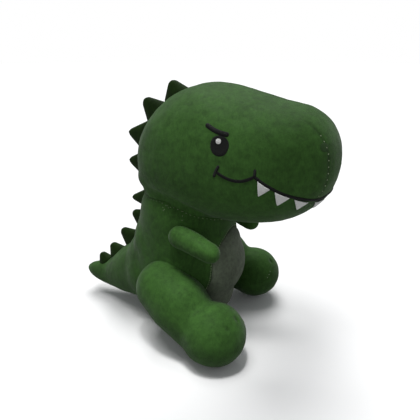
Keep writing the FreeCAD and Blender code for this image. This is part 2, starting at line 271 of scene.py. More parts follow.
@dataclass(frozen=True)
class PileFinish:
    """Short-pile velour: soft mottling, fine specks, brushed streaks, a faint sheen and painted shade in its
    seam valleys.
    """

    name: str
    base: Colour
    speck: float = 0.6
    sheen: float = 0.12
    gloss: float = 0.08
    roughness: float = 0.62
    patch_size: float = 22 * MM
    mottle_size: float = 5 * MM
    speck_size: float = 1.3 * MM
    fibre_size: float = 0.45 * MM
    fibre_rise: float = 0.35 * MM
    # how dark the painted shade in the pressed seam valleys and eye dimples is
    seam_shade: float = 0.55

    def material(self) -> bpy.types.Material:
        """Return the material."""
        shader = Shader(self.name)
        place = shader.position()
        patches = shader.noise(place, self.patch_size, 2.0)
        mottle = shader.noise(place, self.mottle_size, 3.0, 0.6)
        specks = shader.noise(place, self.speck_size, 2.0, 0.7)
        streaks = shader.noise(shader.stretched(place, (1.0, 1.0, 0.35)), self.speck_size, 1.0)
        fibres = shader.noise(place, self.fibre_size, 2.0, 0.8)
        seam = shader.attribute(SEAM_MAP)
        shade = (patches - 0.5) * 0.8 + (mottle - 0.5) * 1.3 + (streaks - 0.5) * 0.6 + 0.5
        tone = shader.blend(darker(self.base, 0.6), darker(self.base, 1.42), shade.clamped())
        spotted = shader.blend(tone, darker(self.base, 0.45), specks.step(0.6, 0.78) * self.speck)
        # painted shade: the pile is darkened in the pressed valleys of its seams and in the dimples round
        # the eyes
        sewn = shader.blend(spotted, darker(self.base, 0.3), seam * self.seam_shade)
        height = fibres * 0.5 + specks * 0.35 + mottle * 0.35
        return shader.finish(
            Base_Color=sewn,
            Roughness=0.08 * mottle + (self.roughness - 0.04),
            Sheen_Weight=self.sheen,
            Sheen_Roughness=0.45,
            Specular_IOR_Level=self.gloss,
            Normal=shader.bump(height, self.fibre_rise),
        )


@dataclass(frozen=True)
class FeltFinish:
    """Pressed felt: short matted fibres in every direction."""

    name: str
    base: Colour
    fibre_size: float = 0.5 * MM
    fibre_rise: float = 0.2 * MM

    def material(self) -> bpy.types.Material:
        """Return the material."""
        shader = Shader(self.name)
        place = shader.position()
        clumps = shader.noise(place, 2.4 * MM, 3.0, 0.6)
        fibres = shader.noise(place, self.fibre_size, 3.0, 0.8)
        shade = (clumps - 0.5) * 0.8 + (fibres - 0.5) * 0.8 + 0.5
        tone = shader.blend(darker(self.base, 0.82), darker(self.base, 1.1), shade.clamped())
        height = fibres * 0.7 + clumps * 0.3
        return shader.finish(
            Base_Color=tone,
            Roughness=0.1 * clumps + 0.8,
            Sheen_Weight=0.15,
            Sheen_Roughness=0.5,
            Normal=shader.bump(height, self.fibre_rise),
        )


@dataclass(frozen=True)
class ThreadFinish:
    """Satin stitch: threads laid side by side across the piece."""

    name: str
    base: Colour
    pitch: float = 0.55 * MM
    rise: float = 0.18 * MM
    roughness: float = 0.5

    def material(self) -> bpy.types.Material:
        """Return the material."""
        shader = Shader(self.name)
        along, across = shader.cloth_uv()
        wander = shader.noise(shader.position(), 3 * MM, 2.0)
        turns = 2 * math.pi / self.pitch
        threads = ((along + across * 0.12) * turns + wander * 1.6).wave()
        fluff = shader.noise(shader.position(), 0.5 * MM, 2.0, 0.7)
        shade = (threads * 0.7 + fluff * 0.3).clamped()
        tone = shader.blend(darker(self.base, 0.6), darker(self.base, 1.25), shade)
        return shader.finish(
            Base_Color=tone,
            Roughness=0.15 * fluff + self.roughness,
            Sheen_Weight=0.04,
            Sheen_Roughness=0.4,
            Specular_IOR_Level=0.2,
            Normal=shader.bump(threads + fluff * 0.4, self.rise),
        )


@dataclass(frozen=True)
class WeaveFinish:
    """Plain woven cloth: threads over and under each other."""

    name: str
    base: Colour
    pitch: float = 0.9 * MM
    rise: float = 0.2 * MM

    def material(self) -> bpy.types.Material:
        """Return the material."""
        shader = Shader(self.name)
        place = shader.position()
        turns = 2 * math.pi / self.pitch
        x, y, z = shader.parts(place, "XYZ")
        weave = ((x + y) * turns).wave() * 0.5 + (z * turns).wave() * 0.5
        slubs = shader.noise(place, 4 * MM, 2.0)
        tone = shader.blend(darker(self.base, 0.7), self.base, (weave * 0.7 + slubs * 0.4).clamped())
        return shader.finish(
            Base_Color=tone,
            Roughness=0.1 * slubs + 0.8,
            Normal=shader.bump(weave, self.rise),
        )


@dataclass(frozen=True)
class FibreFinish:
    """Loose white fibre filling."""

    name: str
    base: Colour

    def material(self) -> bpy.types.Material:
        """Return the material."""
        shader = Shader(self.name)
        place = shader.position()
        strands = shader.noise(shader.stretched(place, (1.0, 0.2, 1.0), (0.4, 0.2, 0.7)), 1 * MM, 4.0, 0.7)
        clumps = shader.noise(place, 9 * MM, 3.0)
        shade = (strands * 0.6 + clumps * 0.6).clamped()
        tone = shader.blend(darker(self.base, 0.75), self.base, shade)
        height = strands * 0.4 + clumps
        return shader.finish(
            Base_Color=tone,
            Roughness=0.1 * clumps + 0.85,
            Normal=shader.bump(height, 1.5 * MM),
        )


@dataclass(frozen=True)
class PelletFinish:
    """Rounded plastic grains packed together, with painted shade in the gaps between them."""

    name: str
    base: Colour
    grain: float = 3 * MM

    def material(self) -> bpy.types.Material:
        """Return the material."""
        shader = Shader(self.name)
        inputs = {"Vector": shader.position(), "Scale": 1.0 / self.grain}
        gap = shader.node("ShaderNodeTexVoronoi", {}, inputs, "Distance")
        # painted shade: darker where the grains meet
        tone = shader.blend(self.base, darker(self.base, 0.5), gap.step(0.3, 0.8))
        return shader.finish(
            Base_Color=tone,
            Roughness=0.1 * gap + 0.4,
            Normal=shader.bump(1.0 - gap, 1.2 * MM),
        )


@dataclass(frozen=True)
class FloorFinish:
    """A plain pale studio floor."""

    name: str
    base: Colour
    thrown_back: float = 0.38  # share of the light that it throws back on the toy

    def material(self) -> bpy.types.Material:
        """Return the material."""
        shader = Shader(self.name)
        grain = shader.noise(shader.position(), 0.4, 2.0)
        tone = shader.blend(darker(self.base, 0.99), self.base, grain)
        made = shader.finish(Base_Color=tone, Roughness=0.9)
        shaded = {"Color": darker(self.base, self.thrown_back)}
        dim = shader.node("ShaderNodeBsdfDiffuse", {}, shaded, "BSDF")
        rays = shader.node("ShaderNodeLightPath", {}, {}, "Is Camera Ray")
        pale = Value(shader, shader.surface.outputs["BSDF"])
        both = shader.node("ShaderNodeMixShader", {}, {0: rays, 1: dim, 2: pale})
        shader.feed(shader.tree.nodes["Material Output"].inputs["Surface"], both)
        return made


GREEN = colour(0.034, 0.094, 0.017)


class Wardrobe:
    """Every finish of the toy, made once and shared by its pieces."""

    def __init__(self) -> None:
        """Make the materials."""
        self.pile = PileFinish("green velour", GREEN).material()
        self.belly = PileFinish(
            "grey velour", colour(0.125, 0.150, 0.105), speck=0.15, sheen=0.06, seam_shade=0.2
        ).material()
        self.spike = PileFinish("dark green velour", colour(0.012, 0.031, 0.004), sheen=0.03).material()
        self.felt = FeltFinish("white felt", colour(0.80, 0.80, 0.78)).material()
        self.black = ThreadFinish("black thread", colour(0.005, 0.006, 0.005)).material()
        self.glint = ThreadFinish("glint thread", colour(0.72, 0.72, 0.70)).material()
        self.seam = ThreadFinish("seam thread", colour(0.40, 0.48, 0.30)).material()
        self.nostril = ThreadFinish("nostril thread", colour(0.030, 0.080, 0.016)).material()
        self.stuffing = FibreFinish("fibre filling", colour(0.82, 0.82, 0.80)).material()
        self.pouch = WeaveFinish("pouch cotton", colour(0.6, 0.58, 0.52)).material()
        self.pellets = PelletFinish("plastic pellets", colour(0.75, 0.77, 0.78)).material()


# ---------------------------------------------------------------------------------------------
# Meshes


def make_object(name: str, bm: bmesh.types.BMesh) -> bpy.types.Object:
    """Return a new object that holds a finished bmesh, shaded smooth."""
    mesh = bpy.data.meshes.new(name)
    bm.to_mesh(mesh)
    bm.free()
    mesh.shade_smooth()
    made = bpy.data.objects.new(name, mesh)
    bpy.context.scene.collection.objects.link(made)
    return made


def shown_mesh(piece: bpy.types.Object) -> bpy.types.Mesh:
    """Return a copy of a piece's mesh with its modifiers applied."""
    graph = bpy.context.evaluated_depsgraph_get()
    return bpy.data.meshes.new_from_object(piece.evaluated_get(graph))


def apply_modifiers(piece: bpy.types.Object) -> None:
    """Replace a piece's mesh by the one that its modifiers make."""
    mesh = shown_mesh(piece)
    piece.modifiers.clear()
    piece.data = mesh


class Surface:
    """The outside of a finished skin, to sew and lay things on."""

    def __init__(self, piece: bpy.types.Object) -> None:
        """Read the skin's shape.

        Args:
            piece: a closed mesh object in the frame.
        """
        bm = bmesh.new()
        bm.from_mesh(piece.data)
        self.tree = BVHTree.FromBMesh(bm)
        bm.free()

    def snap(self, point: Vector) -> tuple[Vector, Vector]:
        """Return the nearest place on the skin, and the outward normal there."""
        place, normal, _, _ = self.tree.find_nearest(point)
        return place, normal

    def seen(self, point: Vector, view: Vector) -> Vector:
        """Return where a sight line through a point first meets the skin, or the nearest place."""
        place, _, _, _ = self.tree.ray_cast(point - view * FAR, view)
        return place if place is not None else self.snap(point)[0]

    def out(self, start: Vector, heading: Vector) -> Vector:
        """Return where a line from inside the skin leaves it."""
        return self.seen(start, -heading)

    def sweep(self, start: Vector, first: Vector, second: Vector, turn: tuple, count: int) -> list[Vector]:
        """Return places on the skin, met by a line that turns about a point inside it.

        Args:
            start: the point inside.
            first: the line's direction at 0 degrees.
            second: its direction at 90 degrees.
            turn: the first and last angle, in degrees.
            count: how many places.

        Returns:
            The places in order.
        """
        places = []
        for number in range(count):
            angle = math.radians(turn[0] + (turn[1] - turn[0]) * number / (count - 1))
            places.append(self.out(start, first * math.cos(angle) + second * math.sin(angle)))
        return places

    def holds(self, point: Vector) -> bool:
        """Return whether a point lies inside the skin."""
        place, normal = self.snap(point)
        return (point - place).dot(normal) < 0


@dataclass(frozen=True)
class Wad:
    """One ellipsoid of filling that a skin's shape is fused from, in millimetres."""

    centre: Vector
    radii: tuple[float, float, float]
    pitch: float = 0.0  # degrees about X
    yaw: float = 0.0  # degrees about Z, after the pitch
    cut: tuple[Vector, Vector] | None = None  # a plane's point, and its direction to the side that is kept

    def add_to(self, bm: bmesh.types.BMesh) -> None:
        """Add the ellipsoid to a bmesh."""
        yawed = Matrix.Rotation(math.radians(self.yaw), 4, "Z")
        turn = yawed @ Matrix.Rotation(math.radians(self.pitch), 4, "X")
        shape = Matrix.Diagonal((*[radius * MM for radius in self.radii], 1.0))
        place = Matrix.Translation(self.centre) @ turn @ shape
        if self.cut is None:
            bmesh.ops.create_icosphere(bm, subdivisions=4, radius=1.0, matrix=place)
            return
        part = bmesh.new()
        bmesh.ops.create_icosphere(part, subdivisions=5, radius=1.0, matrix=place)
        everything = part.verts[:] + part.edges[:] + part.faces[:]
        plane_point, kept_side = self.cut
        bmesh.ops.bisect_plane(
            part, geom=everything, plane_co=plane_point, plane_no=kept_side, clear_inner=True
        )
        bmesh.ops.holes_fill(part, edges=part.edges[:], sides=0)
        bmesh.ops.recalc_face_normals(part, faces=part.faces[:])
        mesh = bpy.data.meshes.new("cut wad")
        part.to_mesh(mesh)
        part.free()
        bm.from_mesh(mesh)
        bpy.data.meshes.remove(mesh)


def sausage(start: Vector, start_radius: float, end: Vector, end_radius: float, count: int = 9) -> list[Wad]:
    """Return a row of round wads from one place to another, with radii in millimetres."""
    wads = []
    for number in range(count):
        share = number / (count - 1)
        radius = start_radius + (end_radius - start_radius) * share
        wads.append(Wad(start.lerp(end, share), (radius, radius, radius)))
    return wads


@dataclass(frozen=True)
class Seam:
    """A sewn line in a skin: a valley with pulled-in cloth."""

    path: list[Vector]
    depth: float = 0.9 * MM
    width: float = 2.2 * MM
    tight: bool = True  # whether its thread holds the cloth back as it swells


SeamMaker = Callable[[Surface], list[Seam]]


@dataclass
class Skin:
    """One stuffed skin: fused wads, swollen as cloth, with sewn valleys."""

    name: str
    body: str
    copies: list[str]
    wads: list[Wad]
    voxel: float = 3.0 * MM
    smoothing: int = 6
    pressure: float = 8.0
    cap: float = 2.6 * MM  # the most that it swells
    hold: Callable[[Vector], float] = lambda point: 0.0  # 1 where the skin may not swell
    lump_size: float = 17 * MM
    lump_rise: float = 0.45 * MM
    seams: list[Seam] = field(default_factory=list)
    seat_height: float | None = None
    hollow: tuple[Vector, float] | None = None
    shift: Callable[[Vector], Vector] = lambda point: Vector()  # a gentle local stretch of the fused shape

    def build(self, make_seams: SeamMaker) -> bpy.types.Object:
        """Build the skin.

        Args:
            make_seams: gives the skin's seams on a surface.

        Returns:
            The finished object, without a material.
        """
        piece = self.fused()
        self.clear_hollow(piece)
        self.swell(piece, make_seams(Surface(piece)))
        self.refine(piece)
        self.clear_hollow(piece)
        self.seams = make_seams(Surface(piece))
        self.sew(piece)
        return piece

    def fused(self) -> bpy.types.Object:
        """Return the wads and the copied CAD filling, fused into one even mesh."""
        bm = bmesh.new()
        for node in self.copies:
            bm.from_mesh(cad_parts[node].data)
        bmesh.ops.remove_doubles(bm, verts=bm.verts[:], dist=0.01 * MM)
        for wad in self.wads:
            wad.add_to(bm)
        piece = make_object(self.name, bm)
        remesh = piece.modifiers.new("fuse", "REMESH")
        remesh.mode = "VOXEL"
        remesh.voxel_size = self.voxel
        apply_modifiers(piece)
        bm = bmesh.new()
        bm.from_mesh(piece.data)
        for _ in range(self.smoothing):
            bmesh.ops.smooth_vert(
                bm, verts=bm.verts[:], factor=0.5, use_axis_x=True, use_axis_y=True, use_axis_z=True
            )
        for vertex in bm.verts:
            vertex.co += self.shift(vertex.co)
        bm.to_mesh(piece.data)
        bm.free()
        return piece

    def clear_hollow(self, piece: bpy.types.Object) -> None:
        """Push the skin out of the ball-shaped room that another body turns in."""
        if self.hollow is None:
            return
        centre, radius = self.hollow
        for vertex in piece.data.vertices:
            away = vertex.co - centre
            if away.length < radius:
                vertex.co = centre + away * (radius / away.length)
        piece.data.update()

    def swell(self, piece: bpy.types.Object, seams: Sequence[Seam]) -> None:
        """Swell the skin by air pressure, held back along its tight seams and by its hold."""
        start = [vertex.co.copy() for vertex in piece.data.vertices]
        held = piece.vertex_groups.new(name="held")
        nearness = nearness_to([seam for seam in seams if seam.tight], start, HOLD_REACH)
        holds = [self.hold(place) for place in start]
        for index, near in enumerate(nearness):
            held.add([index], max(holds[index], near), "REPLACE")
        normals = [vertex.normal.copy() for vertex in piece.data.vertices]
        slack = self.cap * SLACK_SHARE
        moved = [place + normal * slack for place, normal in zip(self.simulated(piece), normals)]
        for index, vertex in enumerate(piece.data.vertices):
            push = moved[index] - start[index]
            if push.length > self.cap:
                push *= self.cap / push.length
            vertex.co = start[index] + push * (1.0 - max(holds[index], HOLD_SHARE * nearness[index]))
        piece.vertex_groups.clear()

    def simulated(self, piece: bpy.types.Object) -> list[Vector]:
        """Return where a cloth simulation under pressure takes each point."""
        cloth = piece.modifiers.new("swell", "CLOTH")
        cloth.settings.use_pressure = True
        cloth.settings.uniform_pressure_force = self.pressure
        cloth.settings.effector_weights.gravity = 0.0
        cloth.settings.vertex_group_mass = "held"
        cloth.settings.pin_stiffness = 1.0
        cloth.collision_settings.use_collision = False
        cloth.collision_settings.use_self_collision = False
        for number in range(1, SWELL_FRAMES + 1):
            bpy.context.scene.frame_set(number)
        moved = [vertex.co.copy() for vertex in shown_mesh(piece).vertices]
        bpy.context.scene.frame_set(1)
        piece.modifiers.clear()
        return moved

    def refine(self, piece: bpy.types.Object) -> None:
        """Divide the mesh once and give it the small lumps of filling."""
        finer = piece.modifiers.new("refine", "SUBSURF")
        finer.levels = 1
        finer.render_levels = 1
        apply_modifiers(piece)
        normals = [vertex.normal.copy() for vertex in piece.data.vertices]
        for vertex, normal in zip(piece.data.vertices, normals):
            lump = noise.noise(vertex.co / self.lump_size)
            lump += 0.5 * noise.noise(vertex.co * 2.3 / self.lump_size)
            vertex.co += normal * lump * self.lump_rise * (1.0 - self.hold(vertex.co))
            if self.seat_height is not None:
                vertex.co.z = max(vertex.co.z, self.seat_height)

    def sew(self, piece: bpy.types.Object) -> None:
        """Press the seams into the skin, and mark their valleys for the pile's painted shade."""
        mesh = piece.data
        places = [vertex.co.copy() for vertex in mesh.vertices]
        normals = [vertex.normal.copy() for vertex in mesh.vertices]
        marks = [0.0] * len(places)
        for seam in self.seams:
            nearness = nearness_to([seam], places, 1.0)
            for index, near in enumerate(nearness):
                mesh.vertices[index].co -= normals[index] * seam.depth * near
                marks[index] = max(marks[index], near)
        attribute = mesh.attributes.new(SEAM_MAP, "FLOAT", "POINT")
        attribute.data.foreach_set("value", marks)
        mesh.update()


SWELL_FRAMES = 20
SHORTEST_LEG = 1e-9  # metres
HOLD_REACH = 2.2  # of a seam's width: how far round it its thread holds the swelling cloth
HOLD_SHARE = 0.75  # how much of the swelling its thread holds back
SEAM_EXTENT = 3  # of a seam's width: how far away the seam is felt at all
SLACK_SHARE = 0.68  # of a skin's cap: the ease that the filling takes up before the cloth stretches


def eased(value: float, low: float, high: float) -> float:
    """Return 0 below low and 1 above high, with a smooth rise between."""
    share = min(1.0, max(0.0, (value - low) / (high - low)))
    return share * share * (3 - 2 * share)


def nearness_to(seams: Sequence[Seam], places: Sequence[Vector], reach: float) -> list[float]:
    """Return how near each place is to any of the seams, from 0 to 1.

    Args:
        seams: the seams.
        places: the points to measure.
        reach: widens each seam's own width.

    Returns:
        One number for each place.
    """
    near = [0.0] * len(places)
    for seam in seams:
        dense = spaced(seam.path, 1.0 * MM)
        tree = KDTree(len(dense))
        for index, point in enumerate(dense):
            tree.insert(point, index)
        tree.balance()
        width = seam.width * reach
        for index, place in enumerate(places):
            distance = tree.find(place)[2]
            if distance < SEAM_EXTENT * width:
                near[index] = max(near[index], math.exp(-((distance / width) ** 2)))
    return near


def spaced(path: Sequence[Vector], pitch: float) -> list[Vector]:
    """Return points along a path, evenly spaced at about pitch."""
    lengths = [0.0]
    for first, second in zip(path, path[1:]):
        lengths.append(lengths[-1] + (second - first).length)
    count = max(2, round(lengths[-1] / pitch) + 1)
    points = []
    leg = 0
    for number in range(count):
        reach = lengths[-1] * number / (count - 1)
        while leg < len(path) - 2 and lengths[leg + 1] < reach:
            leg += 1
        span = max(lengths[leg + 1] - lengths[leg], SHORTEST_LEG)
        points.append(path[leg].lerp(path[leg + 1], (reach - lengths[leg]) / span))
    return points


def bowed(first: Vector, middle: Vector, last: Vector, count: int = 12) -> list[Vector]:
    """Return points on the smooth bow through three points."""
    points = []
    for number in range(count):
        share = number / (count - 1)
        points.append(
            first * (2 * (share - 0.5) * (share - 1))
            - middle * (4 * share * (share - 1))
            + last * (2 * share * (share - 0.5))
        )
    return points


def patch(
    name: str, columns: int, rows: int, place: Callable[[float, float], Vector], wall: float
) -> bpy.types.Object:
    """Return a thin closed piece, shaped by a function of two coordinates from -1 to 1.

    Args:
        name: the piece's name.
        columns: divisions along the first coordinate.
        rows: divisions along the second.
        place: gives each point's position.
        wall: thickness, in metres.

    Returns:
        The piece.
    """
    bm = bmesh.new()
    bmesh.ops.create_grid(bm, x_segments=columns, y_segments=rows, size=1.0)
    uv = bm.loops.layers.uv.new(CLOTH_MAP)
    flat = {vertex: vertex.co.copy() for vertex in bm.verts}
    for vertex, spot in flat.items():
        vertex.co = place(spot.x, spot.y)
    steps = [(edge.calc_length(), flat[edge.verts[0]] - flat[edge.verts[1]]) for edge in bm.edges]
    reach_x = sum(length for length, step in steps if abs(step.y) < TINY)
    reach_y = sum(length for length, step in steps if abs(step.x) < TINY)
    length = reach_x / (rows + 1)
    width = reach_y / (columns + 1)
    for face in bm.faces:
        for loop in face.loops:
            spot = flat[loop.vert]
            loop[uv].uv = ((spot.x + 1) / 2 * length, (spot.y + 1) / 2 * width)
    bmesh.ops.solidify(bm, geom=bm.faces[:], thickness=wall)
    bmesh.ops.recalc_face_normals(bm, faces=bm.faces[:])
    return make_object(name, bm)


def dome(share: float) -> float:
    """Return the height of a half round at a share of its half width."""
    return math.sqrt(max(0.0, 1.0 - share * share))


def disc(u: float, v: float) -> tuple[float, float]:
    """Return the place in a disc of radius 1 for a place in the square from -1 to 1."""
    return u * math.sqrt(1 - v * v / 2), v * math.sqrt(1 - u * u / 2)


def full_turn(steps: int) -> list[float]:
    """Return the angles of a full turn in even steps, with both its ends."""
    return [2 * math.pi * number / steps for number in range(steps + 1)]


RIBBON_STEP = 0.8 * MM
THREAD_WALL = 0.3 * MM
THREAD_SUNK = 0.1 * MM  # how deep the edge of a stitched shape lies in the pile


@dataclass(frozen=True)
class Laid:
    """Shapes that lie on a skin."""

    surface: Surface

    def ribbon(self, name: str, path: Sequence[Vector], width: float, rise: float) -> bpy.types.Object:
        """Return a domed ribbon with round ends along a path.

        Args:
            name: the piece's name.
            path: points near the skin.
            width: full width, in metres.
            rise: height of its middle, in metres.

        Returns:
            The ribbon.
        """
        line = spaced(path, RIBBON_STEP)
        last = len(line) - 1
        length = sum((b - a).length for a, b in zip(line, line[1:]))

        def place(u: float, v: float) -> Vector:
            """Return the point at a share of the length and of the width."""
            reach = (u + 1) / 2 * last
            index = min(int(reach), last - 1)
            centre = line[index].lerp(line[index + 1], reach - index)
            ahead = line[min(index + 2, last)] - line[max(index - 1, 0)]
            on_skin, normal = self.surface.snap(centre)
            across = ahead.cross(normal).normalized()
            to_end = min(u + 1, 1 - u) / 2 * length
            share = dome(1 - to_end / (width / 2)) if to_end < width / 2 else 1.0
            spot, up = self.surface.snap(on_skin + across * v * share * width / 2)
            return spot + up * (rise * dome(v) * max(share, 0.2) - THREAD_SUNK)

        return patch(name, max(8, round(length / RIBBON_STEP)), 6, place, THREAD_WALL)

    def oval(
        self, name: str, centre: Vector, first: Vector, second: Vector, rise: float, cells: int
    ) -> bpy.types.Object:
        """Return a domed oval.

        Args:
            name: the piece's name.
            centre: its middle, near the skin.
            first: half of one axis, as a vector.
            second: half of the other axis.
            rise: height of its middle, in metres.
            cells: divisions each way.

        Returns:
            The oval.
        """

        def place(u: float, v: float) -> Vector:
            """Return the point for a place in the square."""
            x, y = disc(u, v)
            spot, up = self.surface.snap(centre + first * x + second * y)
            edge = min(1.0, math.hypot(x, y))
            return spot + up * (rise * dome(edge) ** 0.5 - THREAD_SUNK)

        return patch(name, cells, cells, place, THREAD_WALL)

    def tooth(self, name: str, root: Vector, far_root: Vector, tip: Vector, rise: float) -> bpy.types.Object:
        """Return a felt triangle with a rounded tip.

        Args:
            name: the piece's name.
            root: one end of its root.
            far_root: the other end of its root.
            tip: its tip.
            rise: thickness of the felt, in metres.

        Returns:
            The tooth.
        """
        middle = (root + far_root) / 2
        half = (far_root - root) / 2
        blunt = 0.82  # the share of its height from which its tip is round
        narrowing = 0.93

        def place(u: float, v: float) -> Vector:
            """Return the point at a share across and a share of the height."""
            level = (v + 1) / 2
            reach = 1 - level * narrowing
            if level > blunt:
                reach *= dome((level - blunt) / (1 - blunt))
            target = middle.lerp(tip, level) + half * u * reach
            spot, up = self.surface.snap(target)
            edge = max(abs(u), level * 0.9)
            return spot + up * (rise * (1 - 0.55 * edge**6) - 0.05 * MM)

        return patch(name, 12, 14, place, 0.6 * MM)


@dataclass(frozen=True)
class Stitching:
    """A row of small thread stitches along a path on a skin."""

    surface: Surface
    pitch: float = 2.4 * MM
    length: float = 1.3 * MM
    radius: float = 0.26 * MM
    style: Stitch = Stitch.RUNNING
    sunk: float = 0.05 * MM

    def sew(self, name: str, paths: Sequence[Sequence[Vector]]) -> bpy.types.Object:
        """Return all the stitches of some paths as one piece."""
        bm = bmesh.new()
        for path in paths:
            line = spaced(path, self.pitch)
            for number, (point, ahead) in enumerate(zip(line, line[1:])):
                spot, up = self.surface.snap((point + ahead) / 2)
                along = (ahead - point).normalized()
                lean = math.radians(self.style.value) * (1 if number % 2 else -1)
                raised = spot + up * (self.radius * 0.5 - self.sunk)
                self.add_stitch(bm, raised, Matrix.Rotation(lean, 3, up) @ along, up)
        uv = bm.loops.layers.uv.new(CLOTH_MAP)
        for face in bm.faces:
            for loop in face.loops:
                loop[uv].uv = (loop.vert.co.x + loop.vert.co.y, loop.vert.co.z)
        return make_object(name, bm)

    def add_stitch(self, bm: bmesh.types.BMesh, centre: Vector, along: Vector, up: Vector) -> None:
        """Add one stitch, a small rounded lozenge, to a bmesh."""
        across = up.cross(along).normalized()
        axes = Matrix((along, across, across.cross(along))).transposed().to_4x4()
        size = Matrix.Diagonal((self.length / 2, self.radius, self.radius, 1.0))
        place = Matrix.Translation(centre) @ axes @ size
        bmesh.ops.create_icosphere(bm, subdivisions=1, radius=1.0, matrix=place)


def paint(piece: bpy.types.Object, material: bpy.types.Material) -> None:
    """Give a piece this one material."""
    piece.data.materials.clear()
    piece.data.materials.append(material)


def dress(piece: bpy.types.Object, slot: Slot, material: bpy.types.Material, *nodes: str) -> None:
    """Give a finished piece its material, and hide the CAD nodes that it stands for.

    Args:
        piece: the new piece.
        slot: not used.
        material: its material.
        nodes: the CAD nodes that it stands for.
    """
    paint(piece, material)
    if nodes:
        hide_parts(*nodes)
    LOG.info("%s: %d faces", piece.name, len(piece.data.polygons))


def settle(
    piece: bpy.types.Object, body: str, slot: Slot, material: bpy.types.Material, *nodes: str
) -> None:
    """Dress a finished piece that rides on one CAD body."""
    dress(piece, slot, material, *nodes)
    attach(piece, body)


# ---------------------------------------------------------------------------------------------
# Spikes


@dataclass(frozen=True)
class Spike:
    """One stuffed spike, sewn flat at its edges, standing on a skin in the middle plane."""

    number: int
    y: float  # the middle of its base
    z: float
    lean: float  # its rise above the +Y direction, in degrees
    base: float
    height: float
    blunt: float = 2.2  # half width of its tip
    half_thickness: float = 7.0
    root: float = 7.0
    shoulder: float = 0.84  # the share of its height from which its tip is round
    pinch: float = 1.25  # above 1 its edges are pressed flat
    thinning: float = 0.8  # how its thickness follows its width

    def build(self, surface: Surface) -> bpy.types.Object:
        """Build the spike where its own axis leaves a skin.

        Args:
            surface: the skin that it is sewn to.

        Returns:
            The spike.
        """
        angle = math.radians(self.lean)
        up = Vector((0, math.cos(angle), math.sin(angle)))
        along = X_AXIS.cross(up)
        seat = surface.out(at(0, self.y, self.z) - up * SPIKE_REACH, up)
        bm = bmesh.new()
        bmesh.ops.create_uvsphere(bm, u_segments=28, v_segments=24, radius=1.0)
        full = self.height + self.root
        for vertex in bm.verts:
            level = (vertex.co.z + 1) / 2
            ring = math.hypot(vertex.co.x, vertex.co.y)
            cosine = vertex.co.x / ring if ring > TINY else 0.0
            sine = vertex.co.y / ring if ring > TINY else 0.0
            rise = level * full - self.root
            share = max(0.0, rise / self.height)
            half = self.base / 2 * (1 - share) + self.blunt * share
            if share > self.shoulder:
                half *= dome((share - self.shoulder) / (1 - self.shoulder))
            if ring <= TINY:
                half = 0.0
            flat = math.copysign(abs(sine) ** self.pinch, sine)
            thick = self.half_thickness * min(1.0, half / (self.base / 2)) ** self.thinning
            vertex.co = seat + (along * cosine * half + X_AXIS * flat * thick + up * rise) * MM
        bmesh.ops.recalc_face_normals(bm, faces=bm.faces[:])
        return make_object(f"stuffed_spike_{self.number}", bm)

    def add(self, surface: Surface, body: str, wardrobe: Wardrobe) -> None:
        """Build the spike, and give it its cloth and its place in the frame."""
        piece = self.build(surface)
        piece.data.attributes.new(SEAM_MAP, "FLOAT", "POINT")
        settle(piece, body, Slot.SPIKE, wardrobe.spike, f"spike_{self.number}")


# ---------------------------------------------------------------------------------------------
# Head


NECK = at(0, 2.5, 120)  # the middle of the ball that the head turns about
EYE = (-55.2, 204.6)  # the middle of each eye in the side view: y and z


